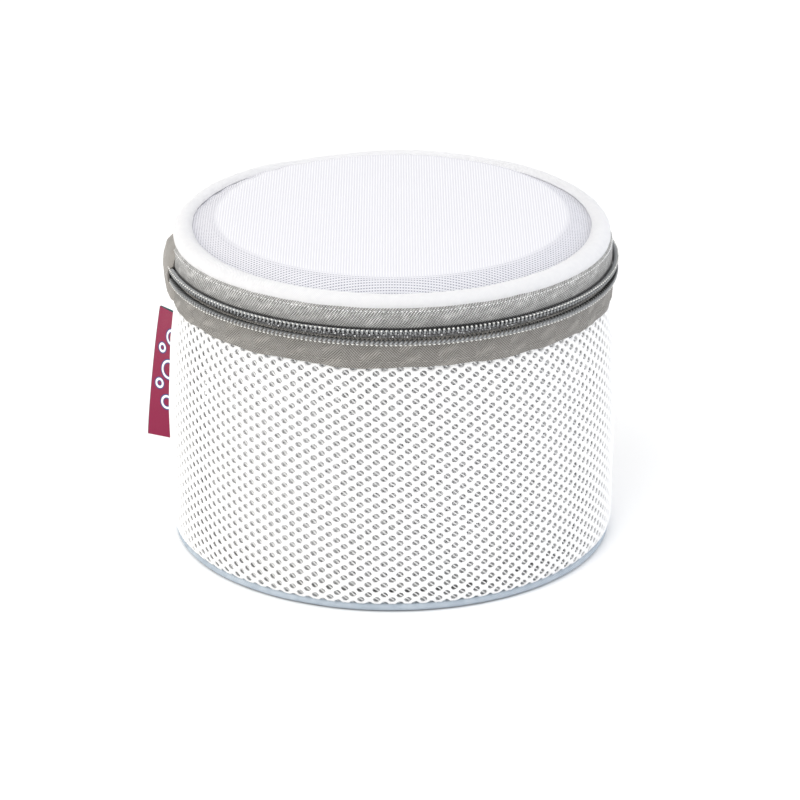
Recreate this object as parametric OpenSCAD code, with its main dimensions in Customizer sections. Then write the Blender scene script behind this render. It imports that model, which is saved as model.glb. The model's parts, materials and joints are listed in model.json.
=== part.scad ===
// Round zip-lidded wash bag for delicates: honeycomb net wall, inner drum of fine mesh,
// padded lid and base, coil zip round the mouth with a cloth hinge at the back.
// Millimetres, +Z up, origin on the floor under the centre of the round base.
// The cloth hinge is at the back (+Y) and the zip runs round the front (-Y).

/* [Bag] */
// Diameter of the bag over the net wall
bag_diameter = 158.75; // [150:0.25:170]
// Height from the floor to the middle of the zip
zip_height = 100.2; // [95:0.1:110]
// Thickness of the honeycomb net
net_thickness = 1.2; // [0.8:0.1:1.6]
// Radius of the inner drum and of the round pads in lid and base
drum_radius = 66; // [60:0.5:68]
// Thickness of the fine inner mesh
fine_mesh = 0.8; // [0.5:0.1:1.2]
// Thickness of the pad in the base
base_pad_thickness = 6; // [3:0.5:8]

/* [Lid] */
// Height of the lid from its sewn edge to the top of its rim
rim_rise = 5.3; // [5:0.1:6]
// Height of the lid from its sewn edge to its padded top
lid_rise = 7.6; // [7.2:0.1:8.5]
// Thickness of the pad in the lid
lid_pad_thickness = 8; // [6:0.5:8]

/* [Zip] */
// Share of the mouth that the zip runs round, in degrees
zip_arc = 300; // [280:1:310]
// Visible width of the lower tape below the coil
lower_tape_width = 11.2; // [11:0.1:14]
// Visible width of the upper tape above the coil
upper_tape_width = 9.4; // [8:0.1:10]
// Thickness of the zip tape
tape_thickness = 0.8; // [0.6:0.1:1]
// Height of one half of the coil
coil_height = 2.1; // [1.8:0.1:2.4]
// Gap between the two halves of the coil
coil_gap = 1.2; // [1.2:0.1:1.6]
// Length of the slider along the zip
slider_length = 11; // [9:0.5:12]
// Length of the pull from its pivot to its tip
pull_length = 24; // [18:1:28]
// Width of the pull
pull_width = 7; // [6:0.5:8]

/* [Label] */
// How far the folded label stands out of the side seam
label_reach = 18; // [14:0.5:20]
// Height of the label
label_height = 48; // [40:1:52]
// Height of the label's lower edge above the floor
label_foot = 18; // [12:1:24]
// How far the label leans round from straight out, in degrees
label_lean = -18; // [-30:1:0]

/* [Hidden] */
$fn = 120;

// Where the zip starts and ends, counted from +X; the cloth hinge fills the rest at the back
hinge_arc = 360 - zip_arc;
zip_start = 90 + hinge_arc / 2;
zip_end = zip_start + zip_arc;
end_tab_arc = 13;
// The join of the wall, the drum and the label, just beside the middle of the back
seam_angle = 98;

// Radii
bag_r = bag_diameter / 2;
mouth_r = bag_r - 2.1;
wall_top_r = bag_r - 2.95;
tape_foot_r = bag_r - 1.9;
seam_r = bag_r - 3.1;
binding_r = bag_r - 1.2;
coil_in_r = mouth_r + 0.1;
coil_out_r = coil_in_r + 2.2;
hoop_tube = 1.1;

// Heights
cloth = 0.8;
base_pad_top = cloth + 0.1 + base_pad_thickness;
coil_lower_top = zip_height - coil_gap / 2;
coil_upper_foot = zip_height + coil_gap / 2;
tape_lower_top = coil_lower_top - 0.1;
tape_upper_foot = coil_upper_foot + 0.1;
tape_lower_foot = zip_height - lower_tape_width;
lid_seam = zip_height + upper_tape_width;
rim_top = lid_seam + rim_rise;
lid_top = lid_seam + lid_rise;
wall_top = zip_height - 6.6;
binding_top = zip_height - 5.1;
collar_foot = zip_height - 7.2;
drum_foot = base_pad_top + 0.1 + fine_mesh;

// The slider's parts, as distances from the bag's axis
plate_in_r = mouth_r - 2.5;
plate_out_r = coil_out_r + 0.45;
plate_thickness = 1.2;
slider_foot = zip_height - 4;
slider_top = zip_height + 3.2;
slider_angle = zip_end - 360 - 6;
pivot_r = plate_out_r + plate_thickness + 1.3;
crown_out_r = pivot_r + 1.9;
pull_pin_r = 0.75;
pull_thickness = 1.4;

// The label swings on the wall's side seam
label_pivot_r = bag_r + 0.9;
label_thickness = 1.2;

// Degrees that a length takes up on a circle
function arc(length, radius) = length / radius * 180 / PI;

// A ring with the given section, right round
module hoop(section) rotate_extrude() polygon(section);

// Part of a ring, from one angle to another
module band(section, from, to) rotate([0, 0, from]) rotate_extrude(angle = to - from) polygon(section);

// A box section between two radii and two heights
function box(r_in, r_out, foot, top) = [[r_in, foot], [r_out, foot], [r_out, top], [r_in, top]];

// A thin section that follows a list of points, its thickness laid on the inside
function skin(points, t) = concat(points, [for (i = [len(points) - 1:-1:0]) points[i] - [t, 0]]);

// ---- base ----

module base_panel() color("white") cylinder(r = binding_r - 2.9, h = cloth);

// Piping that closes the seam between base and wall, rounded where it meets the floor
module base_binding() color("lightsteelblue") rotate_extrude() {
    translate([binding_r - 2.8, 0]) square([1.4, 2.8]);
    translate([binding_r - 1.4, 1.4]) circle(r = 1.4, $fn = 32);
}

module base_hoop() color("whitesmoke")
    rotate_extrude() translate([binding_r - 4.3, cloth + hoop_tube + 0.05]) circle(r = hoop_tube, $fn = 32);

module base_pad() color("snow") translate([0, 0, cloth + 0.05])
    cylinder(r = drum_radius - 0.5, h = base_pad_thickness);

// ---- net wall ----

wall_line = [
    [binding_r + 0.3, 2.85], [bag_r - 0.2, 6], [bag_r, 10], [bag_r, 46],
    [bag_r - 0.9, 72], [wall_top_r, tape_lower_foot], [wall_top_r, wall_top]
];

module wall_net() color("white") hoop(skin(wall_line, net_thickness));

// Tape that binds the join of the net, on its inside
module wall_seam() color("white") {
    line = [for (i = [1:len(wall_line) - 2]) wall_line[i] - [net_thickness + 0.05, 0]];
    half = arc(3.5, bag_r);
    band(skin(line, 0.6), seam_angle - half, seam_angle + half);
}

// ---- inner drum ----

module drum_floor() color("white") translate([0, 0, base_pad_top]) cylinder(r = drum_radius, h = fine_mesh);

module drum_wall() color("white")
    hoop(box(drum_radius - fine_mesh, drum_radius, drum_foot - 0.1, collar_foot));

module drum_seam() color("white") {
    half = arc(3, drum_radius);
    band(box(drum_radius + 0.02, drum_radius + 0.6, drum_foot + 1, collar_foot - 2),
         seam_angle - half, seam_angle + half);
}

// Flat ring of fine mesh that joins the drum to the mouth of the bag
module drum_collar() color("white")
    hoop(box(drum_radius - fine_mesh, wall_top_r - net_thickness - 1.25, collar_foot, collar_foot + fine_mesh));

module mouth_hoop() color("whitesmoke")
    rotate_extrude() translate([wall_top_r - 4.9, collar_foot - hoop_tube - 0.02]) circle(r = hoop_tube, $fn = 32);

// Binding that wraps the raw edges round the inside of the mouth
module mouth_binding() color("white")
    hoop(box(wall_top_r - net_thickness - 1.2, wall_top_r - net_thickness - 0.02, tape_lower_foot + 0.3, binding_top));

// ---- zip, bag side ----

lower_line = [[tape_foot_r, tape_lower_foot], [mouth_r, zip_height - 3], [mouth_r, tape_lower_top]];
upper_line = [[mouth_r, tape_upper_foot], [mouth_r, zip_height + 3], [seam_r + 0.4, lid_seam]];

module zip_tape_lower() color("gray") band(skin(lower_line, tape_thickness), zip_start, zip_end);

module zip_coil_lower() color("dimgray")
    band(box(coil_in_r, coil_out_r, coil_lower_top - coil_height, coil_lower_top), zip_start + 1.6, zip_end - 1.8);

// Crimped stop on the bag's half of the coil, at the closed end
module zip_stop_lower() color("dimgray")
    band(box(coil_in_r, coil_out_r + 0.1, coil_lower_top - 2.3, coil_lower_top), zip_end - 1.7, zip_end - 0.5);

// Clamp where the zip starts, under the end tab
module zip_start_clamp() color("dimgray")
    band(box(coil_in_r, coil_out_r + 0.1, coil_lower_top - 2.3, coil_lower_top), zip_start + 0.3, zip_start + 1.5);

// Cloth tab over the start of the zip, below the fold
tab_in_r = coil_out_r + 0.2;
module zip_end_tab_lower() color("gray")
    band([[tape_foot_r + 0.6, zip_height - 10], [tape_foot_r + 1.5, zip_height - 10],
          [tab_in_r + 0.9, zip_height - 4], [tab_in_r + 0.9, tape_lower_top],
          [tab_in_r, tape_lower_top], [tab_in_r, zip_height - 4]],
         zip_start, zip_start + end_tab_arc);

// Elastic strap beyond the closed end, where the pull is tucked away
keeper_from = zip_end - 360 + 3;
keeper_to = keeper_from + 10;
keeper_r = mouth_r + 2.9;
keeper_foot = zip_height - 5.5;
keeper_top = zip_height + 3.5;
module zip_pull_keeper() color("gray") {
    band(box(keeper_r, keeper_r + 0.8, keeper_foot, keeper_top), keeper_from, keeper_to);
    for (side = [keeper_from, keeper_to - 0.8])
        band(box(mouth_r + 0.05, keeper_r + 0.1, keeper_foot, tape_lower_top), side, side + 0.8);
}

module hinge_panel_lower() color("white")
    band(skin(lower_line, tape_thickness), zip_end - 360 + 0.05, zip_start - 0.05);

// ---- lid ----

// Top skin: flat over the pad, dipping into a valley and up to the edge band
module lid_cover() color("white") {
    outer = [[0, lid_top], [drum_radius - 6, lid_top], [drum_radius - 2.5, lid_top - 0.8],
             [drum_radius + 0.2, lid_top - 2.6], [drum_radius + 1.8, rim_top - 1.7],
             [drum_radius + 3, rim_top - 2.4], [drum_radius + 5.4, rim_top - 2.3]];
    hoop(concat(outer, [for (i = [len(outer) - 1:-1:0]) outer[i] - [0, cloth]]));
}

// Doubled cloth rolled round the edge of the lid
edge_r = 3.9;
edge_centre = [seam_r - edge_r + 0.3, rim_top - edge_r];
module lid_edge_band() color("white") rotate_extrude() difference() {
    union() {
        translate(edge_centre) circle(r = edge_r, $fn = 64);
        translate([edge_centre[0], lid_seam + 0.05]) square([edge_r, rim_rise - edge_r]);
    }
    translate(edge_centre) circle(r = edge_r - 1, $fn = 64);
    translate([edge_centre[0] - edge_r - 1, lid_seam - 9]) square([edge_r + 1, rim_rise + 6.9]);
    translate([edge_centre[0] - 0.01, lid_seam - 9]) square([edge_r - 1, 9 + rim_rise - edge_r]);
    translate([edge_centre[0] - 1, lid_seam - 9]) square([edge_r + 3, 9.05]);
}

module lid_hoop() color("whitesmoke")
    rotate_extrude() translate([edge_centre[0] + 0.4, lid_seam + 1.2]) circle(r = hoop_tube, $fn = 32);

pad_top = lid_top - cloth - 0.05;
module lid_pad() color("snow") translate([0, 0, pad_top - lid_pad_thickness])
    union() {
        cylinder(r = drum_radius - 6.5, h = lid_pad_thickness);
        cylinder(r = drum_radius - 3.5, h = lid_pad_thickness - 0.6);
        cylinder(r = drum_radius - 0.5, h = lid_pad_thickness - 2.2);
    }

lining_top = pad_top - lid_pad_thickness - 0.05;
module lid_lining() color("white") translate([0, 0, lining_top - fine_mesh])
    cylinder(r = seam_r - 2.6, h = fine_mesh);

// Binding over the raw edges inside the seam between lid and upper tape
module lid_binding() color("white")
    hoop(box(seam_r - 2.5, seam_r - 1.35, zip_height + 4.8, lid_seam - 0.3));

// ---- zip, lid side ----

module zip_tape_upper() color("gray") band(skin(upper_line, tape_thickness), zip_start, zip_end);

module zip_coil_upper() color("dimgray")
    band(box(coil_in_r, coil_out_r, coil_upper_foot, coil_upper_foot + coil_height), zip_start + 1.6, zip_end - 1.8);

module zip_stop_upper() color("dimgray")
    band(box(coil_in_r, coil_out_r + 0.1, coil_upper_foot, coil_upper_foot + 2.3), zip_end - 1.7, zip_end - 0.5);

// Cloth tab over the start of the zip, above the fold
module zip_end_tab_upper() color("gray")
    band([[tab_in_r, tape_upper_foot], [tab_in_r + 0.9, tape_upper_foot], [tab_in_r + 0.9, zip_height + 4],
          [seam_r + 2.4, lid_seam - 0.2], [seam_r + 1.5, lid_seam - 0.2], [tab_in_r, zip_height + 4]],
         zip_start, zip_start + end_tab_arc);

module hinge_panel_upper() color("white")
    band(skin(upper_line, tape_thickness), zip_end - 360 + 0.05, zip_start - 0.05);

// ---- slider, pull and label ----

module zip_slider() color("silver") {
    half = arc(slider_length / 2, plate_out_r);
    from = slider_angle - half;
    to = slider_angle + half;
    post_out = arc(2.7, pivot_r);
    post_in = arc(1.8, pivot_r);
    // outer plate, inner plate, and the post between the two halves of the coil
    band(box(plate_out_r, plate_out_r + plate_thickness, slider_foot, slider_top), from, to);
    band(box(plate_in_r, plate_in_r + 1, slider_foot, slider_top), from, to);
    band(box(plate_in_r + 0.9, plate_out_r + 0.1, zip_height - 0.25, zip_height + 0.25),
         slider_angle, to - 0.3);
    // lip round the bag's half of the coil
    band(box(mouth_r + 0.6, plate_out_r + 0.1, slider_foot, slider_foot + 0.9), from + 0.2, to - 0.2);
    // crown that holds the pull
    difference() {
        band(box(plate_out_r + plate_thickness - 0.1, crown_out_r, zip_height - 1.5, zip_height + 1.5),
             slider_angle - post_out, slider_angle + post_out);
        band(box(plate_out_r + plate_thickness - 0.2, pivot_r + 1.1, zip_height - 2, zip_height + 2),
             slider_angle - post_in, slider_angle + post_in);
    }
}

// Drawn with its pivot on the Z axis and its tip towards -Y, then set on the slider
module zip_pull() color("silver") rotate([0, 0, slider_angle]) translate([pivot_r, 0, zip_height]) {
    cheek = 1;
    cheek_z = pull_width / 2 - cheek;
    reach = 4.4;
    translate([0, 0, -pull_width / 2]) cylinder(r = pull_pin_r, h = pull_width, $fn = 48);
    for (z = [-pull_width / 2, cheek_z])
        translate([-pull_pin_r + 0.05, -reach, z]) cube([pull_thickness, reach, cheek]);
    difference() {
        union() {
            translate([-pull_pin_r + 0.05, -pull_length + pull_width / 2, -pull_width / 2])
                cube([pull_thickness, pull_length - pull_width / 2 - reach + 0.5, pull_width]);
            translate([-pull_pin_r + 0.05, -pull_length + pull_width / 2, 0]) rotate([0, 90, 0])
                cylinder(r = pull_width / 2, h = pull_thickness);
        }
        translate([-pull_pin_r - 1, -pull_length + pull_width / 2, 0]) rotate([0, 90, 0])
            cylinder(r = 1.6, h = pull_thickness + 2);
    }
}

// Ribbon folded in two and sewn into the side seam, its fold outwards
module side_label() color("mediumvioletred")
    rotate([0, 0, seam_angle]) translate([label_pivot_r, 0, label_foot]) rotate([0, 0, label_lean]) {
        translate([0.6, -label_thickness / 2, 0])
            cube([label_reach - 0.6 - label_thickness / 2, label_thickness, label_height]);
        translate([label_reach - label_thickness / 2, 0, 0]) cylinder(r = label_thickness / 2, h = label_height);
    }

base_panel();
base_binding();
base_hoop();
base_pad();
wall_net();
wall_seam();
drum_floor();
drum_wall();
drum_seam();
drum_collar();
mouth_hoop();
mouth_binding();
zip_tape_lower();
zip_coil_lower();
zip_stop_lower();
zip_start_clamp();
zip_end_tab_lower();
zip_pull_keeper();
hinge_panel_lower();
lid_cover();
lid_edge_band();
lid_hoop();
lid_pad();
lid_lining();
lid_binding();
zip_tape_upper();
zip_coil_upper();
zip_stop_upper();
zip_end_tab_upper();
hinge_panel_upper();
zip_slider();
zip_pull();
side_label();
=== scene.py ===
# Round zip-lidded wash bag: the fabric pieces and zip that go on the bag's frame, in metres, in the
# frame's own axes (+Z up, the cloth hinge at +Y, the zip round the front).
import json
import math

import bmesh
import bpy
from mathutils import Matrix, Vector, noise


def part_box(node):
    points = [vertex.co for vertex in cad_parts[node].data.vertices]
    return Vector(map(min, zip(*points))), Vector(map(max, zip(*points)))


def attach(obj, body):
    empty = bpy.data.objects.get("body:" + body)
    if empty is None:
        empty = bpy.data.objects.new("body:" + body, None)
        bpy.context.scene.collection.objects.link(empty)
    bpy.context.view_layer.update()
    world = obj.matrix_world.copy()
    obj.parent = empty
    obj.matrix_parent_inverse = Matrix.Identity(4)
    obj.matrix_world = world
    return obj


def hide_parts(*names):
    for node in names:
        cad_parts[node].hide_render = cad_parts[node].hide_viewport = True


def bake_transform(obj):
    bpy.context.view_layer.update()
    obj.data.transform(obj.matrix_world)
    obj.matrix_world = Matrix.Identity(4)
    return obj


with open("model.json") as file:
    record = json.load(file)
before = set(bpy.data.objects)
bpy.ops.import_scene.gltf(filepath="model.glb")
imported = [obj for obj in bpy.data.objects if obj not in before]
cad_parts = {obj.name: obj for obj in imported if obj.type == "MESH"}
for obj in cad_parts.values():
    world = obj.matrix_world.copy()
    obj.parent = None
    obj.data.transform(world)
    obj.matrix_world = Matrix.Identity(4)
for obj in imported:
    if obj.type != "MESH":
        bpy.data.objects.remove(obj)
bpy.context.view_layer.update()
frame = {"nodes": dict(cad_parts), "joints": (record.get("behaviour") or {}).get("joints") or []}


# ---- Honeycomb net wall ----
# One long strip of thick warp-knitted polyester net with oval holes, joined into a tube at the
# side seam. Its top edge is sewn behind the zip tape and its foot into the piping of the base.
mm = 0.001
bag_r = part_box("wall_net")[1].x
net_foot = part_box("wall_net")[0].z
net_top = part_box("wall_net")[1].z
zip_z = next(j for j in frame["joints"] if j["name"] == "lid_hinge")["pos_m"][2]
tape_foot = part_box("zip_tape_lower")[0].z
mouth_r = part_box("zip_coil_lower")[1].x - 2.3 * mm
seam_angle = 98
net_across = 92
net_pitch = math.tau * bag_r / net_across
net_rise = 3.9 * mm
net_thickness = 1.2 * mm
yarn_white = (0.93, 0.93, 0.925, 1)


class Dye:
    """A value on its way through a material: arithmetic on it adds Math nodes, node() adds any other."""

    def __init__(self, tree, socket=None):
        self.tree, self.socket = tree, socket

    def node(self, kind, settings=(), inputs=(), output=0):
        made = self.tree.nodes.new(kind)
        for name, value in dict(settings).items():
            if name == "stops":
                for spot, (place, colour) in enumerate(value):
                    stop = made.color_ramp.elements[spot] if spot < 2 else made.color_ramp.elements.new(place)
                    stop.position, stop.color = place, colour
            else:
                setattr(made, name, value)
        for key, value in dict(inputs).items():
            if isinstance(value, Dye):
                self.tree.links.new(value.socket, made.inputs[key])
            else:
                made.inputs[key].default_value = value
        return Dye(self.tree, made.outputs[output])

    def maths(self, operation, *values):
        return self.node("ShaderNodeMath", {"operation": operation}, dict(enumerate(values)))

    def __add__(self, other):
        return self.maths("ADD", self, other)

    def __sub__(self, other):
        return self.maths("SUBTRACT", self, other)

    def __rsub__(self, other):
        return self.maths("SUBTRACT", other, self)

    def __mul__(self, other):
        return self.maths("MULTIPLY", self, other)

    __radd__, __rmul__ = __add__, __mul__

    def step(self, low, high, to_low=0.0, to_high=1.0):
        """Runs smoothly from to_low to to_high as the value goes from low to high."""
        return self.node("ShaderNodeMapRange", {"interpolation_type": "SMOOTHSTEP"},
                         {0: self, 1: low, 2: high, 3: to_low, 4: to_high})

    def wave(self, pitch):
        """A cosine of the given pitch, from -1 to 1."""
        turn = self * (math.tau / pitch)
        return turn.maths("COSINE", turn)

    def mix(self, dark, light):
        """The colour that is this far from dark to light."""
        return self.node("ShaderNodeMix", {"data_type": "RGBA"}, {0: self, 6: dark, 7: light}, output=2)


def new_material(name):
    """A material with only its Principled shader, and the start of its Dye."""
    made = bpy.data.materials.new(name)
    made.use_nodes = True
    return made, Dye(made.node_tree)


def weave_place(dye):
    """How far along and across the cloth a point is, in metres, from its own UV map."""
    place = dye.node("ShaderNodeUVMap", {"uv_map": "weave"})
    parts = dye.node("ShaderNodeSeparateXYZ", {}, {0: place})
    return parts, Dye(dye.tree, parts.socket.node.outputs[1])


def specks(dye, scale, detail=2.0, rough=0.5):
    """Noise over the piece's own object coordinates, about 0 to 1."""
    spot = dye.node("ShaderNodeTexCoord", output=3)
    return dye.node("ShaderNodeTexNoise", {},
                    {"Vector": spot, "Scale": scale, "Detail": detail, "Roughness": rough})


def finish_material(made, colour, rough, height=None, depth=0.3 * mm, strength=1.0, alpha=None, **plain):
    """Feeds the Principled shader: colour, rough and alpha may be a value or a Dye, height makes the bump."""
    tree = made.node_tree
    shader = tree.nodes["Principled BSDF"]
    for socket, value in (("Base Color", colour), ("Roughness", rough), ("Alpha", alpha)):
        if isinstance(value, Dye):
            tree.links.new(value.socket, shader.inputs[socket])
        elif value is not None:
            shader.inputs[socket].default_value = value
    if height is not None:
        bump = height.node("ShaderNodeBump", {}, {"Strength": strength, "Distance": depth, "Height": height})
        tree.links.new(bump.socket, shader.inputs["Normal"])
    for socket, value in plain.items():
        words = [word if word.isupper() else word.title() for word in socket.split("_")]
        shader.inputs[" ".join(words)].default_value = value
    return made


def show(name, bm, material, body, stands_for=(), sharp=40):
    """Makes a smooth piece of a bmesh, riding on its body, or on the piece that it is sewn to."""
    mesh = bpy.data.meshes.new(name)
    bm.to_mesh(mesh)
    bm.free()
    for face in mesh.polygons:
        face.use_smooth = True
    mesh.set_sharp_from_angle(angle=math.radians(sharp))
    mesh.materials.append(material)
    piece = bpy.data.objects.new(name, mesh)
    bpy.context.scene.collection.objects.link(piece)
    if isinstance(body, str):
        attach(piece, body)
    else:
        piece.parent = body
    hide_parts(*stands_for)
    return piece


def on_circle(radius, degrees, height):
    """A point at that radius and angle round the bag's axis."""
    turn = math.radians(degrees)
    return Vector((radius * math.cos(turn), radius * math.sin(turn), height))


def along_line(line, height):
    """Radius at a height on a line of (height, radius) points, eased between them."""
    for (low, low_r), (high, high_r) in zip(line, line[1:]):
        if height <= high:
            share = max(0.0, (height - low) / (high - low))
            return low_r + (high_r - low_r) * share
    return line[-1][1]


def soft(place, size, seed):
    """Slow irregularity of hand-sewn cloth, from about -1 to 1, that repeats exactly each run."""
    return noise.noise(Vector(place) / size + Vector((seed, 0, 0)))


wall_line = [(0.6 * mm, bag_r - 2.7 * mm), (2.4 * mm, bag_r - 2.0 * mm), (3.2 * mm, bag_r - 1.0 * mm),
             (6 * mm, bag_r - 0.2 * mm), (10 * mm, bag_r), (46 * mm, bag_r), (72 * mm, bag_r - 0.9 * mm),
             (tape_foot, bag_r - 2.9 * mm), (net_top, bag_r - 3.0 * mm)]


def net_cell(slant):
    """One hexagon of the net with an oval hole: rounded yarn, and one thread that crosses behind the hole."""
    bm = bmesh.new()
    half = net_rise / 2
    top_x = ((net_pitch / 2) ** 2 + half ** 2) / 2 / (net_pitch / 2) - half * half / (net_pitch / 2)
    side_x = ((net_pitch / 2) ** 2 + half ** 2) / 2 / (net_pitch / 2)
    corners = [(side_x, 0), (top_x, half), (-top_x, half), (-side_x, 0), (-top_x, -half), (top_x, -half)]
    rim = []
    for here, there in zip(corners, corners[1:] + corners[:1]):
        rim += [here, ((here[0] + there[0]) / 2, (here[1] + there[1]) / 2)]
    hole = []
    for x, y in rim:
        turn = math.atan2(y / (0.94 * mm), x / (1.22 * mm))
        hole.append((1.22 * mm * math.cos(turn), 0.94 * mm * math.sin(turn)))

    def ring(share, lift):
        return [bm.verts.new((hx + (rx - hx) * share, hy + (ry - hy) * share, lift))
                for (hx, hy), (rx, ry) in zip(hole, rim)]

    crest = net_thickness / 2
    rings = [ring(1, -crest), ring(0, 0), ring(0.3, crest * 0.75), ring(1, crest)]
    for low, high in zip(rings, rings[1:]):
        for spot in range(len(rim)):
            beside = (spot + 1) % len(rim)
            bm.faces.new((low[spot], low[beside], high[beside], high[spot]))
    tilt = Matrix.Translation((0, 0, -crest * 0.55)) @ Matrix.Rotation(slant, 4, "Z")
    bmesh.ops.create_cube(bm, size=1, matrix=tilt @ Matrix.Diagonal((2.5 * mm, 0.36 * mm, 0.3 * mm, 1)))
    return bm


def repeat(bm, count, step):
    """Copies all of a bmesh count times, each a step on from the last."""
    first = bm.verts[:] + bm.edges[:] + bm.faces[:]
    for turn in range(1, count):
        copied = bmesh.ops.duplicate(bm, geom=first)["geom"]
        moved = [v for v in copied if isinstance(v, bmesh.types.BMVert)]
        bmesh.ops.translate(bm, verts=moved, vec=Vector(step) * turn)


def net_strip(columns, rows, slant):
    """A flat strip of net cells, joined to their neighbours and closed along its outline."""
    bm = net_cell(slant)
    repeat(bm, 2, (net_pitch / 2, net_rise / 2, 0))
    repeat(bm, rows, (0, net_rise, 0))
    repeat(bm, columns, (net_pitch, 0, 0))
    bmesh.ops.remove_doubles(bm, verts=bm.verts, dist=0.02 * mm)
    bmesh.ops.bridge_loops(bm, edges=[edge for edge in bm.edges if edge.is_boundary])
    return bm


net_white, dye = new_material("honeycomb_net")
along, across = weave_place(dye)
filament = specks(dye, 2600, 3, 0.6)
slub = specks(dye, 240, 2, 0.5)
yarn = (slub * 0.6 + filament * 0.4).step(0.25, 0.75).mix((0.86, 0.86, 0.865, 1), yarn_white)
finish_material(net_white, yarn,
                filament.step(0.3, 0.7, 0.62, 0.9), height=filament + slub, depth=0.12 * mm,
                sheen_weight=0.25, specular_IOR_level=0.35)

net_rows = math.floor((net_top - net_foot) / net_rise)
for name, first_column, slant in (("net_wall_left", 0, 2.45), ("net_wall_right", net_across // 2, 0.70)):
    bm = net_strip(net_across // 2, net_rows, slant)
    uv = bm.loops.layers.uv.new("weave")
    for face in bm.faces:
        for loop in face.loops:
            loop[uv].uv = loop.vert.co.xy
    for vert in bm.verts:
        x, y, lift = vert.co
        degrees = seam_angle + (x / net_pitch + first_column) * 360 / net_across
        z = net_foot - 0.3 * mm + y
        spot = on_circle(bag_r, degrees, z)
        z += 0.30 * mm * soft(spot, 9 * mm, 3)
        degrees += math.degrees(0.30 * mm / bag_r) * soft(spot, 8 * mm, 7)
        drape = 0.45 * mm * soft(spot, 32 * mm, 11) * min(1, max(0, (net_top - z) / (20 * mm)))
        radius = along_line(wall_line, z) - net_thickness / 2 + lift + drape
        vert.co = on_circle(radius, degrees, z)
    net = show(name, bm, net_white, "bag", ["wall_net"], sharp=80)


# ---- Fine mesh pieces: base panel, drum and collar ----
# Fine white polyester mesh, cut flat and sewn. The drum is a tube of it that hugs the round pads
# of the base and the lid, and the collar joins the top of the drum to the mouth of the bag.
def bent_grid(columns, rows, bend, width, height):
    """A grid of cloth, width along and height across, put in place by bend(share along, share across)."""
    bm = bmesh.new()
    bmesh.ops.create_grid(bm, x_segments=columns, y_segments=rows, size=0.5)
    uv = bm.loops.layers.uv.new("weave")
    for face in bm.faces:
        for loop in face.loops:
            loop[uv].uv = ((loop.vert.co.x + 0.5) * width, (loop.vert.co.y + 0.5) * height)
    for vert in bm.verts:
        vert.co = bend(vert.co.x + 0.5, vert.co.y + 0.5)
    bmesh.ops.remove_doubles(bm, verts=bm.verts, dist=0.005 * mm)
    return bm


def thicken(bm, thickness):
    """Gives cloth its thickness, inwards from the faces' outer side, with its edges closed."""
    bmesh.ops.solidify(bm, geom=bm.faces[:], thickness=thickness)
    bmesh.ops.recalc_face_normals(bm, faces=bm.faces)
    return bm


def fine_mesh(name, hole_along, hole_across, openness, white, deep=0.1 * mm):
    """Fine mesh with small square holes right through it; openness is from 0, shut, to about 1."""
    made, start = new_material(name)
    u, v = weave_place(start)
    knit = u.wave(hole_along) * 0.5 + v.wave(hole_across) * 0.5
    stray = specks(start, 900, 1, 0.5) * 0.35
    cloth = (knit + stray).step(1.10 - openness, 1.24 - openness, 1.0, 0.0)
    finish_material(made, white, 0.75, height=knit * -1.0, depth=deep, alpha=cloth,
                    sheen_weight=0.2, specular_IOR_level=0.3)
    return made


drum_mesh = fine_mesh("drum_mesh", 1.1 * mm, 0.95 * mm, 0.55, (0.93, 0.93, 0.94, 1))
drum_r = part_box("drum_wall")[1].x
drum_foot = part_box("drum_floor")[0].z
drum_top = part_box("drum_wall")[1].z


def drum_place(u, v):
    z = drum_foot + 0.4 * mm + (drum_top - drum_foot - 0.4 * mm) * v
    spot = on_circle(drum_r, 360 * u + seam_angle, z)
    return on_circle(drum_r - 0.1 * mm + 0.5 * mm * soft(spot, 30 * mm, 21), 360 * u + seam_angle, z)


drum = show("drum_tube", bent_grid(180, 24, drum_place, math.tau * drum_r, drum_top - drum_foot), drum_mesh,
            "bag", ["drum_wall"])


def disc(radius, height, lift=lambda spot: 0.0):
    """Bends a grid into a flat disc, from its edge in to its middle, facing up."""
    return lambda u, v: on_circle(radius * (1 - v), 360 * u, height) + Vector(
        (0, 0, lift(on_circle(radius * (1 - v), 360 * u, 0))))


def flat_weave(bm, turn=0.0):
    """Lays the weave of a disc straight across it, turned by some degrees."""
    uv = bm.loops.layers.uv["weave"]
    side = Matrix.Rotation(math.radians(turn), 2)
    for face in bm.faces:
        for loop in face.loops:
            loop[uv].uv = side @ loop.vert.co.xy
    return bm


drum_floor_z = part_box("drum_floor")[1].z
floor_place = disc(drum_r - 0.1 * mm, drum_floor_z,
                   lift=lambda spot: 0.35 * mm * soft(spot, 25 * mm, 31) - 0.4 * mm)
floor_cloth = show("drum_floor_disc", flat_weave(bent_grid(96, 14, floor_place, 1, 1)),
                   drum_mesh, "bag", ["drum_floor"])

collar_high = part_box("drum_collar")[1]
collar_out = collar_high.x


def collar_place(u, v):
    radius = collar_out + (drum_r - 0.2 * mm - collar_out) * v
    z = collar_high.z - 0.2 * mm - 0.3 * mm * math.sin(math.pi * v)
    return on_circle(radius, 360 * u, z)


show("drum_collar_ring", bent_grid(144, 4, collar_place, math.tau * drum_r, collar_out - drum_r), drum_mesh,
     drum, ["drum_collar"])


# ---- Base: panel, piping, wire and foam ----
# A disc of white mesh over a foam pad, its edge and the foot of the net sewn into a roll of
# white piping, coloured blue-grey as painted shade, with a round plastic wire beside the seam that holds the
# base round.
def along_path(path, share):
    """The point that share of the way along a path of (radius, height) points."""
    lengths = [math.dist(a, b) for a, b in zip(path, path[1:])]
    left = share * sum(lengths)
    for length, here, there in zip(lengths, path, path[1:]):
        if left <= length:
            part = left / length
            return here[0] + (there[0] - here[0]) * part, here[1] + (there[1] - here[1]) * part
        left -= length
    return path[-1]


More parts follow.
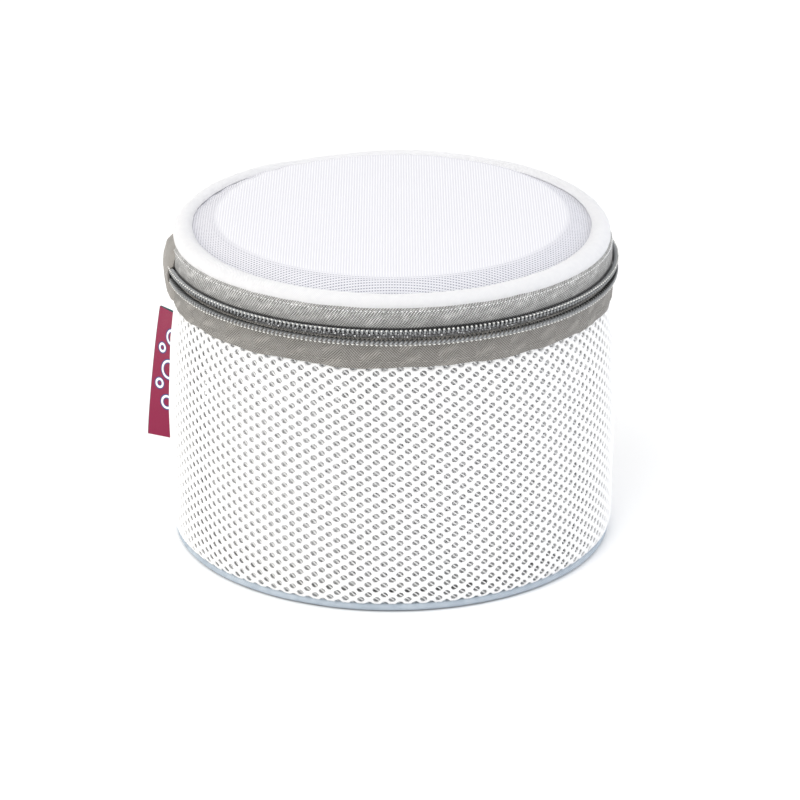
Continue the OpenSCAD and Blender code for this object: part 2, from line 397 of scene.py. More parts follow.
def swept(path, start, end, columns, rows, thickness, stir=None):
    """Cloth that follows a path of (radius, height) points from one angle to another, and its flat size."""
    length = sum(math.dist(a, b) for a, b in zip(path, path[1:]))
    width = math.radians(end - start) * sum(r for r, z in path) / len(path)

    def place(u, v):
        radius, height = along_path(path, v)
        spot = on_circle(radius, start + (end - start) * u, height)
        return spot + stir(spot, u, v) if stir else spot

    return thicken(bent_grid(columns, rows, place, width, length), thickness), (width, length)


def rounded(centre, radius, start, end, steps=16):
    """Points round an arc in the (radius, height) section, by angle in degrees."""
    return [(centre[0] + radius * math.cos(math.radians(start + (end - start) * step / steps)),
             centre[1] + radius * math.sin(math.radians(start + (end - start) * step / steps)))
            for step in range(steps + 1)]


panel_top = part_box("base_panel")[1].z
base_white = fine_mesh("base_mesh", 1.1 * mm, 0.95 * mm, 0.62, (0.86, 0.86, 0.87, 1))
panel_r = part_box("base_panel")[1].x + 0.6 * mm
panel = flat_weave(bent_grid(120, 20, disc(
    panel_r, panel_top, lift=lambda spot: 0.12 * mm * soft(spot, 20 * mm, 5) - 0.12 * mm), 1, 1))
base_panel = show("base_panel_mesh", thicken(panel, panel_top - 0.2 * mm), base_white, "bag",
                  ["base_panel"])

piping_painted_shade, dye = new_material("piping")
along, across = weave_place(dye)
ribs = (along + across).wave(0.9 * mm)
# painted shade: the white piping is coloured blue-grey for the shade it lies in at the foot of the bag
finish_material(piping_painted_shade, (ribs * 0.25 + specks(dye, 260) * 0.8).step(0.1, 0.75).mix(
    (0.40, 0.47, 0.55, 1), (0.60, 0.67, 0.74, 1)), 0.8, height=ribs, depth=0.12 * mm, specular_IOR_level=0.25)
piping_low, piping_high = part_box("base_binding")
piping_radius = (piping_high.z - piping_low.z) / 2
piping_path = rounded((piping_high.x - piping_radius, piping_radius), piping_radius, -215, 115, 20)
bm, flat = swept(piping_path, 0, 360, 240, 20, 0.45 * mm,
                 lambda spot, u, v: Vector((0, 0, max(0, 0.25 * mm * soft(spot, 14 * mm, 8)))))
show("base_piping", bm, piping_painted_shade, base_panel, ["base_binding"])

wire_white, dye = new_material("wire")
finish_material(wire_white, (0.82, 0.83, 0.84, 1), 0.35)
for wire in ("base_hoop", "mouth_hoop", "lid_hoop"):
    frame["nodes"][wire].data.materials.clear()
    frame["nodes"][wire].data.materials.append(wire_white)

foam_white, dye = new_material("foam")
cells = specks(dye, 1500, 3, 0.7)
finish_material(foam_white, cells.step(0.2, 0.7).mix((0.84, 0.84, 0.84, 1), (0.95, 0.95, 0.945, 1)), 0.9,
                height=cells, depth=0.25 * mm, specular_IOR_level=0.2)


def foam(name, node, body, lift):
    """A round pad of foam with rounded edges, its faces pressed a little uneven by the cloth round it."""
    low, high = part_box(node)
    thick, radius = high.z - low.z, high.x
    edge = thick * 0.42
    path = [(radius * share, low.z) for share in (0.001, 0.3, 0.6, 0.85)]
    path += rounded((radius - edge, low.z + edge), edge, -90, 0, 6)
    path += rounded((radius - edge, high.z - edge), edge, 0, 90, 6)
    path += [(radius * share, high.z) for share in (0.85, 0.6, 0.3, 0.001)]

    def place(u, v):
        r, z = along_path(path, v)
        spot = on_circle(r, 360 * u, z)
        if z > low.z + thick / 2:
            spot.z += lift(spot) - 0.15 * mm - 0.3 * mm * abs(soft(spot, 18 * mm, 41))
        return spot

    bm = bent_grid(128, 60, place, math.tau * radius, 2 * radius)
    bmesh.ops.recalc_face_normals(bm, faces=bm.faces)
    show(name, bm, foam_white, body, [node])


foam("base_pad_foam", "base_pad", "bag", lambda spot: 0.0)


# ---- Side seam and drum seam ----
# Narrow white twill tapes over the joins of the net and of the drum, both just beside the middle
# of the back. The wall's join also holds the label.
twill_white, dye = new_material("white_twill")
along, across = weave_place(dye)
twill = (along + across).wave(0.72 * mm)
finish_material(twill_white, (twill * 0.22 + specks(dye, 500) * 0.7).step(0.05, 0.7).mix(
    (0.88, 0.88, 0.905, 1), (0.97, 0.97, 0.98, 1)), 0.72, height=twill, depth=0.12 * mm,
    sheen_weight=0.3, specular_IOR_level=0.3)


def away(spot):
    """The direction from the bag's axis out to a point."""
    return Vector((spot.x, spot.y, 0)).normalized()


def seam_tape(name, node, sewn_to, path, half_width):
    bm, flat = swept(path, seam_angle - half_width, seam_angle + half_width, 8, 60, 0.4 * mm,
                     lambda spot, u, v: 0.12 * mm * soft(spot, 6 * mm, 51) * away(spot))
    show(name, bm, twill_white, sewn_to, [node])


inner_wall = [(radius - 1.75 * mm, height) for height, radius in wall_line[3:-1]]
seam_tape("wall_seam_tape", "wall_seam", net, inner_wall, math.degrees(3.5 * mm / bag_r))
seam_tape("drum_seam_tape", "drum_seam", drum, [(drum_r + 0.55 * mm, drum_foot + 2 * mm),
                                                (drum_r + 0.55 * mm, drum_top - 2 * mm)],
          math.degrees(3 * mm / drum_r))


# ---- Binding round the inside of the mouth ----
# A strip of white twill folded over the raw edges of net, collar and zip tape.
mouth_low, mouth_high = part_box("mouth_binding")
mouth_in = mouth_high.x - 1.15 * mm
mouth_path = [(mouth_high.x - 0.03 * mm, mouth_low.z), (mouth_high.x - 0.03 * mm, mouth_high.z - 0.5 * mm)]
mouth_path += rounded((mouth_high.x - 0.58 * mm, mouth_high.z - 0.58 * mm), 0.55 * mm, 0, 180, 8)
mouth_path += [(mouth_in, mouth_low.z + 0.2 * mm)]
bm, flat = swept(mouth_path, 0, 360, 300, 22, 0.32 * mm,
                 lambda spot, u, v: Vector((0, 0, 0.3 * mm * (soft(spot, 7 * mm, 61) - 0.5) * v)))
mouth_binding = show("mouth_binding_tape", bm, twill_white, "bag", ["mouth_binding"])


# ---- Zip tapes ----
# Grey herringbone polyester tape on both sides of the coil. The lower one is sewn over the top of
# the net with a slightly wavy edge, and the upper one runs under the rolled edge of the lid.
hinge_half = 30
zip_start, zip_end = 90 + hinge_half, 450 - hinge_half
coil_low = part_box("zip_coil_lower")[0].z
coil_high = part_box("zip_coil_upper")[1].z
lid_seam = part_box("zip_tape_upper")[1].z


def tape_grey(name, deep, pale, glint_from, glint_to, least, most, shade_from, shade_to):
    """Grey twill: fine chevrons, with painted shade as a near-black band where it goes under the coil, and
    pale specks that are painted highlights.
    """
    made, start = new_material(name)
    u, v = weave_place(start)
    chevron = (u.maths("PINGPONG", u, 6.5 * mm) + v).wave(0.95 * mm) + (u * 0.9 - v).wave(0.8 * mm) * 0.5
    spots = (u + v * 0.4).wave(1.0 * mm) * v.wave(0.95 * mm) + specks(start, 520, 2, 0.6) * 1.4
    # painted highlights: pale specks mixed into the colour, strongest between glint_from and glint_to
    glints = spots.step(0.85, 1.15) * v.step(glint_from, glint_to, least, most)
    base = (chevron * 0.45 + specks(start, 130, 3, 0.6) * 0.6).step(-0.1, 0.75).mix(deep, pale)
    lit = glints.mix(base, (0.84, 0.84, 0.83, 1))
    # painted shade: near-black colour on the tape below shade_from, fading out by shade_to, next to the coil
    shaded = v.step(shade_from, shade_to).mix((0.012, 0.012, 0.012, 1), lit)
    finish_material(made, shaded, 0.7, height=chevron, depth=0.16 * mm, sheen_weight=0.2,
                    specular_IOR_level=0.4)
    return made


lower_grey = tape_grey("lower_tape", (0.135, 0.125, 0.110, 1), (0.360, 0.340, 0.315, 1),
                       0.0, 20 * mm, 0.15, 0.15, -2 * mm, -1 * mm)
upper_grey = tape_grey("upper_tape", (0.140, 0.138, 0.132, 1), (0.360, 0.356, 0.348, 1),
                       1.5 * mm, 7.0 * mm, 0.25, 1.0, 2.0 * mm, 2.7 * mm)

zip_r = mouth_r
lower_path = [(bag_r - 1.9 * mm, tape_foot), (bag_r - 1.8 * mm, tape_foot + 3 * mm), (zip_r, zip_z - 3 * mm),
              (zip_r, zip_z - 0.7 * mm)]


def lower_wave(spot, u, v):
    """The sewn edge wanders a little up and down and puckers between stitches."""
    down = (1 - v) ** 2
    out = away(spot)
    drop = down * (0.75 * mm * soft(spot, 12 * mm, 71) + 0.35 * mm * soft(spot, 4 * mm, 73))
    return Vector((0, 0, drop)) + out * (0.28 * mm * soft(spot, 9 * mm, 75) * (0.4 + down) + 0.05 * mm)


bm, flat = swept(lower_path, zip_start, zip_end, 420, 14, 0.7 * mm, lower_wave)
lower_tape = show("zip_tape_bag_side", bm, lower_grey, "bag", ["zip_tape_lower"])

upper_path = [(zip_r, zip_z + 0.7 * mm), (zip_r, zip_z + 3 * mm), (zip_r - 0.5 * mm, lid_seam - 0.3 * mm),
              (zip_r - 1.5 * mm, lid_seam + 0.6 * mm), (zip_r - 2.4 * mm, lid_seam + 2.6 * mm)]


def upper_wave(spot, u, v):
    out = away(spot)
    return out * (0.22 * mm * soft(spot, 10 * mm, 81) + 0.3 * mm * math.sin(math.pi * v) ** 2)


bm, flat = swept(upper_path, zip_start, zip_end, 420, 12, 0.7 * mm, upper_wave)
upper_tape = show("zip_tape_lid_side", bm, upper_grey, "lid", ["zip_tape_upper"])


# ---- Zip coils ----
# Two nylon coils, each a continuous spiral sewn to its tape with a row of pale stitches. Their
# loops meet in the shadowed gap between the tapes; that shade is painted into the coils' colour.
coil_pitch = 1.6 * mm
coil_low_r, coil_out_r = zip_r + 0.1 * mm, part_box("zip_coil_lower")[1].x
coil_grey, dye = new_material("coil")
up = dye.node("ShaderNodeSeparateXYZ", {}, {0: dye.node("ShaderNodeTexCoord", output=3)}, output=2)
reach = up.maths("ABSOLUTE", up - zip_z)
# painted shade: near black within about 0.7 mm of the zip's line, paling to grey by 1.6 mm
nylon_with_painted_shade = reach.step(0.7 * mm, 1.6 * mm).mix((0.018, 0.018, 0.016, 1), (0.34, 0.35, 0.36, 1))
finish_material(coil_grey, nylon_with_painted_shade, 0.55, specular_IOR_level=0.3)


def tube(bm, points, radius, sides=5):
    """A round bar along the points, open-ended, its first side turned outwards from the bag's axis."""
    rings = []
    for spot, point in enumerate(points):
        ahead = (points[min(spot + 1, len(points) - 1)] - points[max(spot - 1, 0)]).normalized()
        side = ahead.cross(Vector((0.13, 0.27, 0.95))).normalized()
        other = ahead.cross(side)
        rings.append([bm.verts.new(point + radius * (math.cos(math.tau * turn / sides) * side
                                                     + math.sin(math.tau * turn / sides) * other))
                      for turn in range(sides)])
    for low, high in zip(rings, rings[1:]):
        for turn in range(sides):
            beside = (turn + 1) % sides
            bm.faces.new((low[turn], low[beside], high[beside], high[turn]))
    return bm


def spiral(name, node, body, low_z, high_z, lean):
    wire = 0.34 * mm
    coil_start, coil_end = zip_start + 1.6, zip_end - 1.8
    loops = round(math.radians(coil_end - coil_start) * coil_out_r / coil_pitch)
    steps = 9
    bm = bmesh.new()
    points = []
    for step in range(loops * steps + 1):
        turn = math.tau * step / steps
        share = (step + 1.2 * lean * math.sin(turn)) / (loops * steps)
        degrees = coil_start + (coil_end - coil_start) * share
        mid_r, mid_z = (coil_low_r + coil_out_r) / 2, (low_z + high_z) / 2
        half_r, half_z = (coil_out_r - coil_low_r) / 2 - wire, (high_z - low_z) / 2 - wire
        points.append(on_circle(mid_r + half_r * math.cos(turn), degrees, mid_z + half_z * math.sin(turn)))
    tube(bm, points, wire)
    bmesh.ops.recalc_face_normals(bm, faces=bm.faces)
    show(name, bm, coil_grey, body, [node], sharp=180)


spiral("zip_coil_bag_side", "zip_coil_lower", "bag", coil_low, coil_low + 2.1 * mm, 1)
spiral("zip_coil_lid_side", "zip_coil_upper", "lid", coil_high - 2.1 * mm, coil_high, -1)

thread_pale, dye = new_material("thread")
strands = specks(dye, 900).step(0.3, 0.7).mix((0.60, 0.60, 0.57, 1), (0.88, 0.88, 0.85, 1))
finish_material(thread_pale, strands, 0.5)


def stitch_row(name, body, place, start, end, pitch, length, width, material, rise=0.0):
    """A row of stitches round the bag: place(degrees) gives radius and height, rise tips each one."""
    bm = bmesh.new()
    bmesh.ops.create_icosphere(bm, subdivisions=1, radius=0.5)
    count = round(math.radians(end - start) * place(start)[0] / pitch)
    first = bm.verts[:] + bm.edges[:] + bm.faces[:]
    sets = [bm.verts[:]]
    for turn in range(1, count):
        copied = bmesh.ops.duplicate(bm, geom=first)["geom"]
        sets.append([v for v in copied if isinstance(v, bmesh.types.BMVert)])
    for turn, verts in enumerate(sets):
        degrees = start + (end - start) * (turn + 0.5) / count
        radius, height = place(degrees)
        jitter = soft(on_circle(radius, degrees, height), 2 * mm, 91)
        grow = 1 + 0.25 * jitter
        matrix = Matrix.Translation(on_circle(radius, degrees, height + 0.1 * mm * jitter))
        matrix = matrix @ Matrix.Rotation(math.radians(degrees), 4, "Z") @ Matrix.Rotation(rise, 4, "X")
        matrix = matrix @ Matrix.Diagonal((width, length * grow, width, 1))
        bmesh.ops.transform(bm, matrix=matrix, verts=verts)
    return show(name, bm, material, body, sharp=180)


stitch_row("coil_stitches_lid_side", "lid",
           lambda degrees: (coil_out_r - 0.25 * mm, coil_high - 0.1 * mm), zip_start + 2, zip_end - 2,
           coil_pitch, 0.85 * mm, 0.62 * mm, thread_pale)
stitch_row("coil_stitches_bag_side", "bag",
           lambda degrees: (coil_out_r - 0.3 * mm, coil_low + 0.2 * mm), zip_start + 2, zip_end - 2,
           coil_pitch, 1.0 * mm, 0.5 * mm, thread_pale)


# ---- Zip stops and start clamp ----
# Small crimped metal pieces: a stop on each half of the coil at the closed end, and a clamp that
# joins the halves under the end tab.
def hard_copy(name, node, material, body, radius):
    """A copy of a hard solid of the frame with its edges rounded."""
    bm = bmesh.new()
    bm.from_mesh(frame["nodes"][node].data)
    bmesh.ops.remove_doubles(bm, verts=bm.verts, dist=0.001 * mm)
    bmesh.ops.dissolve_limit(bm, angle_limit=math.radians(4), verts=bm.verts, edges=bm.edges)
    piece = show(name, bm, material, body, [node], sharp=35)
    rounding = piece.modifiers.new("rounding", "BEVEL")
    rounding.width = radius
    rounding.segments = 2
    rounding.limit_method = "ANGLE"
    rounding.angle_limit = math.radians(35)
    return piece


crimp_grey, dye = new_material("crimp")
finish_material(crimp_grey, (0.30, 0.30, 0.295, 1), 0.38, metallic=0.8)
hard_copy("stop_bag_side", "zip_stop_lower", crimp_grey, "bag", 0.25 * mm)
hard_copy("stop_lid_side", "zip_stop_upper", crimp_grey, "lid", 0.25 * mm)
hard_copy("start_clamp", "zip_start_clamp", crimp_grey, "bag", 0.25 * mm)


# ---- End tab ----
# Smooth grey-brown cloth folded over the start of the zip, in two halves that meet on the zip's
# line and stand a little proud of the coil.
tab_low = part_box("zip_end_tab_lower")[0]
tab_r = coil_out_r + 0.75 * mm
tab_arc = 13.0
tab_brown, dye = new_material("end_tab")
along, across = weave_place(dye)
fine = (along + across).wave(0.5 * mm)
finish_material(tab_brown, (fine * 0.15 + specks(dye, 160, 3, 0.6)).step(0.2, 0.8).mix(
    (0.205, 0.188, 0.168, 1), (0.300, 0.280, 0.255, 1)), 0.62, height=fine, depth=0.06 * mm, sheen_weight=0.3)


def end_tab(name, node, body, path):
    def close_down(spot, u, v):
        """Presses the tab's edges down, onto the coil in the middle and onto the tape beside it."""
        out = away(spot)
        edge = max(0.0, 1 - u / 0.10, (u - 0.62) / 0.38)
        beside = min(1.0, max(0.0, (abs(spot.z - zip_z) - 2.0 * mm) / (1.4 * mm)))
        return out * (0.15 * mm * soft(spot, 5 * mm, 95) - (0.35 + 1.75 * beside) * mm * edge ** 2)

    bm, flat = swept(path, zip_start, zip_start + tab_arc, 40, 16, 0.7 * mm, close_down)
    piece = show(name, bm, tab_brown, body, [node])


end_tab("end_tab_bag_side", "zip_end_tab_lower", "bag",
        [(bag_r - 0.9 * mm, tab_low.z - 0.4 * mm), (bag_r + 0.1 * mm, tab_low.z + 2 * mm),
         (tab_r - 0.2 * mm, zip_z - 3.5 * mm), (tab_r, zip_z - 0.05 * mm)])
end_tab("end_tab_lid_side", "zip_end_tab_upper", "lid",
        [(tab_r, zip_z + 0.05 * mm), (tab_r - 0.2 * mm, zip_z + 3.5 * mm),
         (bag_r - 0.6 * mm, lid_seam - 1.6 * mm), (bag_r - 2.0 * mm, lid_seam - 0.2 * mm),
         (bag_r - 4.4 * mm, lid_seam + 2.4 * mm)])


# ---- Elastic keeper ----
# A strap of grey elastic sewn to the lower tape by both its ends, just beyond the closed end of
# the zip, meant to hold the pull when it is swung over.
keeper_low, keeper_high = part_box("zip_pull_keeper")
keeper_r = coil_out_r + 1.35 * mm
elastic_grey, dye = new_material("elastic")
along, across = weave_place(dye)
cords = across.wave(0.95 * mm) + along.wave(0.6 * mm) * 0.3
finish_material(elastic_grey, (cords * 0.25 + specks(dye, 500) * 0.6).step(0.0, 0.7).mix(
    (0.23, 0.23, 0.225, 1), (0.42, 0.42, 0.41, 1)), 0.7, height=cords, depth=0.18 * mm)
keeper_from, keeper_to = 63.0, 73.0


def keeper_place(u, v):
    foot = max(0.0, abs(u - 0.5) * 2 - 0.80) / 0.20
    radius = keeper_r - (keeper_r - zip_r - 0.7 * mm) * foot ** 2
    top = keeper_high.z + (zip_z - 0.9 * mm - keeper_high.z) * min(1.0, foot * 1.6)
    degrees = keeper_from + (keeper_to - keeper_from) * u
    return on_circle(radius, degrees, keeper_low.z + (top - keeper_low.z) * v)


keeper_flat = (math.radians(keeper_to - keeper_from) * keeper_r + 5 * mm, keeper_high.z - keeper_low.z)
show("pull_keeper", thicken(bent_grid(40, 14, keeper_place, *keeper_flat), 0.7 * mm), elastic_grey,
     lower_tape, ["zip_pull_keeper"])


# ---- Cloth hinge ----
# White mesh at the back, where the zip doesn't run, sewn to the net below and the lid above.
hinge_mesh = fine_mesh("hinge_mesh", 1.1 * mm, 0.95 * mm, 0.55, (0.90, 0.90, 0.90, 1))
hinge_path = [(bag_r - 1.9 * mm, tape_foot), (zip_r - 0.2 * mm, zip_z - 3 * mm), (zip_r, zip_z),
              (zip_r - 0.2 * mm, zip_z + 3 * mm), (zip_r - 0.7 * mm, lid_seam)]
bm, flat = swept(hinge_path, 90 - hinge_half, 90 + hinge_half, 70, 26, 0.5 * mm,
                 lambda spot, u, v: 0.35 * mm * soft(spot, 12 * mm, 97) * away(spot))
hinge = show("cloth_hinge", bm, hinge_mesh, None, ["hinge_panel_lower", "hinge_panel_upper"])
zip_z - 3 * mm
zip_z + 3 * mm
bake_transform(hinge)


# ---- Lid: mesh top ----
# Fine white mesh pulled over the foam pad. It lies flat on the pad, dips into a valley round it
# and comes up to the rolled edge.
lid_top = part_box("lid_edge_band")[1].z
cover_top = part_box("lid_cover")[1].z
edge_r = 3.9 * mm
edge_in = bag_r - 3.1 * mm + 0.3 * mm - edge_r


def lean_back(spot):
    """The stuffed lid stands a little higher on the far side than at the front."""
    return 1.8 * mm * (spot.x * 0.87 + spot.y * 0.49) / edge_in


def rim_sag(spot):
    """How far the rim of the lid droops or lifts: soft, uneven, lowest towards the back left."""
    turn = math.degrees(math.atan2(spot.y, spot.x))
    droop = math.exp(-((turn - 52) / 20) ** 2)
    return lean_back(spot) - 1.0 * mm * droop + 0.35 * mm * soft((spot.x, spot.y, 0), 26 * mm, 101)


def cover_place(u, v):
    path = [(edge_in - 1.4 * mm, lid_top - 1.7 * mm), (drum_r + 4.4 * mm, lid_top - 1.9 * mm),
            (drum_r + 3.0 * mm, lid_top - 1.7 * mm), (drum_r + 1.4 * mm, lid_top - 0.9 * mm),
            (drum_r - 0.6 * mm, lid_top + 0.4 * mm), (drum_r - 2.6 * mm, cover_top - 0.8 * mm),
            (drum_r - 5 * mm, cover_top - 0.15 * mm), (drum_r - 9 * mm, cover_top + 0.2 * mm),
            (0, cover_top + 0.5 * mm)]
    radius, height = along_path(path, v ** 1.9)
    spot = on_circle(radius, 360 * u, height)
    share = radius / edge_in
    turn = math.degrees(math.atan2(spot.y, spot.x))
    creases = math.exp(-((turn - 80) / 22) ** 2) * math.exp(-((share - 0.90) / 0.09) ** 2)
    lift = 0.45 * mm * creases * math.sin(math.radians(turn) * 34)
    rim_share = min(1, max(0, (share - 0.75) / 0.2)) ** 2
    lift += rim_sag(spot) * rim_share + lean_back(spot) * (1 - rim_share)
    lift += 0.20 * mm * soft(spot, 30 * mm, 103)
    return spot + Vector((0, 0, lift))


lid_mesh, dye = new_material("lid_mesh")
along, across = weave_place(dye)
out = (along * along + across * across).maths("SQRT", along * along + across * across)
past_pad = out.step(drum_r - 5.5 * mm, drum_r - 3.0 * mm)
off_pad = past_pad * out.step(drum_r + 3.2 * mm, drum_r + 4.6 * mm, 1.0, 0.0)
knit = along.wave(0.93 * mm) + across.wave(1.0 * mm) + specks(dye, 200, 2, 0.5) * 0.5 - 0.25
# painted shade: the mesh holes off the pad, in the valley round it, are coloured dark grey-blue for the shade
# seen through them
painted_shade_holes = knit.step(0.45, 1.0) * off_pad
ribs = along.wave(0.93 * mm).step(-1, 1).mix((0.66, 0.66, 0.71, 1), (0.80, 0.80, 0.83, 1))
finish_material(lid_mesh, painted_shade_holes.mix(ribs, (0.28, 0.28, 0.34, 1)), 0.75, height=knit * -1.0, depth=0.05 * mm,
                sheen_weight=0.2, specular_IOR_level=0.3)
cover = flat_weave(bent_grid(240, 70, cover_place, 1, 1), -119.5)
cover = show("lid_mesh_top", thicken(cover, 0.35 * mm), lid_mesh, "lid", ["lid_cover"])


# ---- Lid: rolled edge ----
# A strip of white twill rolled round the rim, from the mesh top over the edge and down to the
# seam with the upper tape, softly uneven where it was turned by hand.
edge_path = [(edge_in + edge_r - 0.9 * mm, lid_seam - 0.2 * mm)]
edge_path += rounded((edge_in, lid_top - edge_r), edge_r, -18, 136, 20)


def edge_wander(spot, u, v):
    """Uneven fullness of the roll: it swells, flattens and leans a little as it goes round."""
    out = away(spot)
    up = max(0.0, (spot.z - lid_seam) / (lid_top - lid_seam))
    fullness = soft((spot.x, spot.y, 0), 17 * mm, 107)
    small = soft(spot, 6 * mm, 109)
    return Vector((0, 0, rim_sag(spot) * up)) + out * (0.35 * mm * fullness * up + 0.16 * mm * small)


bm, flat = swept(edge_path, 0, 360, 420, 28, 0.6 * mm, edge_wander)
rolled_edge = show("lid_rolled_edge", bm, twill_white, "lid", ["lid_edge_band"])


# ---- Lid: foam, lining and inner binding ----
# The foam pad, the fine mesh under it and the folded strip over the raw edges of the seam inside.
foam("lid_pad_foam", "lid_pad", "lid", lambda spot: lean_back(spot) - 0.6 * mm)

lining_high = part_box("lid_lining")[1]
lining_white = fine_mesh("lining_mesh", 1.1 * mm, 0.95 * mm, 0.6, (0.88, 0.88, 0.885, 1))
lining_place = disc(lining_high.x, lining_high.z,
                    lift=lambda spot: 0.25 * mm * soft(spot, 28 * mm, 111) - 0.2 * mm)
lining = flat_weave(bent_grid(160, 24, lining_place, 1, 1))
lining = show("lid_lining_mesh", thicken(lining, 0.4 * mm), lining_white, "lid", ["lid_lining"])

lid_bind_low, lid_bind_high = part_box("lid_binding")
lid_bind_path = [(lid_bind_high.x - 1.1 * mm, lid_bind_high.z - 0.2 * mm)]
lid_bind_path += rounded((lid_bind_high.x - 0.57 * mm, lid_bind_low.z + 0.57 * mm), 0.55 * mm, 180, 360, 8)
lid_bind_path += [(lid_bind_high.x - 0.02 * mm, lid_bind_high.z)]
bm, flat = swept(lid_bind_path, 0, 360, 300, 16, 0.32 * mm,
                 lambda spot, u, v: Vector((0, 0, 0.15 * mm * soft(spot, 7 * mm, 113))))
show("lid_binding_tape", bm, twill_white, lining, ["lid_binding"])


# ---- Seam stitches ----
# Polyester lockstitch: along the seam between the rolled edge and the upper tape, and along the
# foot of the lower tape where it is sewn to the net.
thread_white, dye = new_material("white_thread")
finish_material(thread_white, (0.88, 0.88, 0.88, 1), 0.45)
stitch_row("seam_stitches_lid", "lid",
           lambda degrees: (zip_r - 0.2 * mm, lid_seam - 0.9 * mm), zip_start + 1, zip_end - 1,
           1.5 * mm, 0.8 * mm, 0.4 * mm, thread_white, rise=0.6)
thread_grey, dye = new_material("grey_thread")
finish_material(thread_grey, (0.36, 0.345, 0.32, 1), 0.5)
stitch_row("seam_stitches_bag", "bag",
           lambda degrees: (bag_r - 1.7 * mm, tape_foot + 2.2 * mm), zip_start + 1, zip_end - 1,
           2.4 * mm, 1.9 * mm, 0.3 * mm, thread_grey)


# ---- Slider ----
# Painted metal slider at the closed end of the zip: an outer and an inner plate joined by a post,
# with a crown that holds the pull.
painted_grey, dye = new_material("painted_metal")
finish_material(painted_grey, specks(dye, 300).mix((0.50, 0.50, 0.50, 1), (0.60, 0.60, 0.60, 1)), 0.34,
                metallic=0.25, coat_weight=0.4)
hard_copy("slider", "zip_slider", painted_grey, "slider", 0.35 * mm)


# ---- Pull ----
# Flat painted metal tab with a hole near its tip, hanging from the slider's crown.
hard_copy("pull", "zip_pull", painted_grey, "pull", 0.3 * mm)


# ---- Side label ----
# Satin ribbon folded in two and caught in the side seam, magenta outside and teal inside, printed
# with plain rings like soap bubbles. It leans over more towards its upper end.
label_low_z, label_high_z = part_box("side_label")[0].z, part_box("side_label")[1].z
label_root_r = bag_r + 0.9 * mm
label_reach = 18 * mm
label_height = label_high_z - label_low_z
label_satin, dye = new_material("label_satin")
along, across = weave_place(dye)
rings = [(4.6, 8, 3.0), (9.8, 13.5, 2.2), (4.2, 19.5, 2.4), (9.4, 26.0, 3.2), (3.6, 32.5, 1.9),
         (8.6, 38.5, 2.6),
         (13.6, 20.0, 1.5), (13.4, 33.5, 1.4)]
near = None
outward = 2 * label_reach - along
for x, y, size in rings:
    dx, dy = outward - x * mm, across - y * mm
    gap = (dx * dx + dy * dy).maths("SQRT", dx * dx + dy * dy) - size * mm
    gap = gap.maths("ABSOLUTE", gap)
    near = gap if near is None else near.maths("MINIMUM", near, gap)
navy = near.step(0.75 * mm, 0.95 * mm, 1.0, 0.0)
white = near.step(0.36 * mm, 0.52 * mm, 1.0, 0.0)
on_front = outward.step(label_reach - 0.3 * mm, label_reach, 1.0, 0.0)
ground = outward.step(label_reach - 0.7 * mm, label_reach - 0.4 * mm).mix((0.25, 0.006, 0.052, 1),
                                                                         (0.010, 0.135, 0.140, 1))
outlined = (navy * on_front).mix(ground, (0.015, 0.045, 0.20, 1))
printed = (white * on_front).mix(outlined, (0.90, 0.91, 0.93, 1))
satin = across.wave(0.28 * mm)
finish_material(label_satin, printed, 0.38, height=satin, depth=0.03 * mm,
                specular_IOR_level=0.3)


def label_place(u, v):
    """Out along the front layer, round the fold and back along the rear layer, twisting with height."""
    lean = math.radians(seam_angle - 3.5 - 29.5 * v ** 1.3)
    out = Vector((math.cos(lean), math.sin(lean), 0))
    side = Vector((-math.sin(lean), math.cos(lean), 0))
    bulge = 0.34 * mm
    if u < 0.49:
        reach, off = label_reach * u / 0.49, bulge
    elif u > 0.51:
        reach, off = label_reach * (1 - u) / 0.49, -bulge
    else:
        turn = math.pi * (u - 0.49) / 0.02
        reach, off = label_reach + 0.2 * mm * math.sin(turn), bulge * math.cos(turn)
    reach = min(reach, label_reach - 0.1 * mm)
    belly = math.sin(math.pi * min(1, reach / label_reach)) * (0.6 + 0.4 * v)
    off += (0.55 if off > 0 else -0.1) * mm * belly
    curl = 0.7 * mm * math.sin(3.2 * v + 0.5) * (reach / label_reach)
    root = on_circle(label_root_r - 0.3 * mm, seam_angle, label_low_z + label_height * v)
    return root + out * reach - side * (off + curl)


bm = bent_grid(120, 40, label_place, 2 * label_reach, label_height)
bmesh.ops.recalc_face_normals(bm, faces=bm.faces)
label = show("side_label_ribbon", thicken(bm, 0.18 * mm), label_satin,
             "label", ["side_label"])


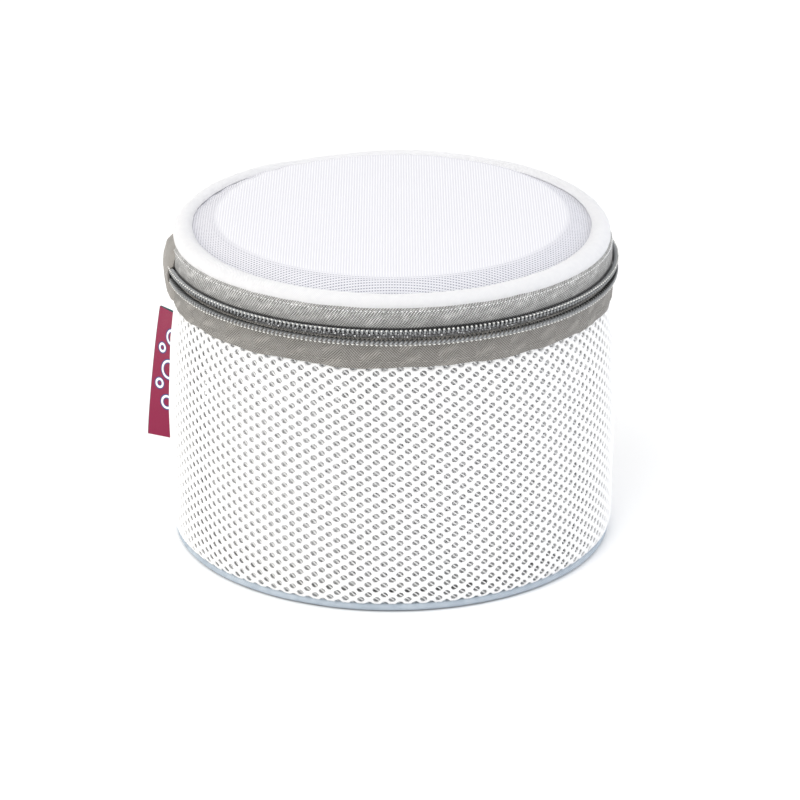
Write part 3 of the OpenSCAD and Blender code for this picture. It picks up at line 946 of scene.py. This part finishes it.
# ---- Floor, light and camera ----
# A plain pale floor under soft studio light, seen from the front left and a little above.
floor_white, dye = new_material("floor")
finish_material(floor_white, (0.97, 0.97, 0.97, 1), 0.9, specular_IOR_level=0.0)
bm = bmesh.new()
bmesh.ops.create_grid(bm, x_segments=1, y_segments=1, size=6.0)
floor = bpy.data.objects.new("floor", bpy.data.meshes.new("floor"))
bm.to_mesh(floor.data)
bm.free()
floor.data.materials.append(floor_white)
floor.location = (0, 0, -0.0004)
bpy.context.scene.collection.objects.link(floor)

studio = bpy.data.worlds.new("studio")
bpy.context.scene.world = studio
studio.use_nodes = True
studio.node_tree.nodes["Background"].inputs["Color"].default_value = (1.0, 1.0, 1.0, 1)
studio.node_tree.nodes["Background"].inputs["Strength"].default_value = 0.95

view_angle = math.radians(209.5)
toward = Vector((math.cos(view_angle), math.sin(view_angle), 0))
left = Vector((toward.y, -toward.x, 0))


def lamp(name, place, size, watts, colour):
    """A soft square lamp aimed at the middle of the bag."""
    light = bpy.data.lights.new(name, "AREA")
    light.size, light.energy, light.color = size, watts, colour
    lit = bpy.data.objects.new(name, light)
    lit.location = place
    lit.rotation_euler = (Vector((0, 0, 0.06)) - place).to_track_quat("-Z", "Y").to_euler()
    bpy.context.scene.collection.objects.link(lit)


lamp("key", toward * 0.9 + left * 0.5 + Vector((0, 0, 1.3)), 0.9, 9, (1.0, 0.995, 0.985))
lamp("warm_side", left * 1.0 + Vector((0, 0, 0.35)), 0.7, 2.5, (1.0, 0.93, 0.80))
lamp("cool_side", -left * 1.0 + Vector((0, 0, 0.35)), 0.7, 2.5, (0.86, 0.90, 1.0))

scene = bpy.context.scene
scene.view_settings.view_transform = "Standard"
lens = bpy.data.cameras.new("camera")
camera = bpy.data.objects.new("camera", lens)
camera.location = toward * 1.1 + Vector((0, 0, 0.492))
camera.rotation_euler = (math.pi / 2 - 0.385, 0, view_angle + math.pi / 2)
lens.sensor_width = 36
lens.lens = 149.3
lens.shift_x = 0.010
scene.collection.objects.link(camera)
scene.camera = camera
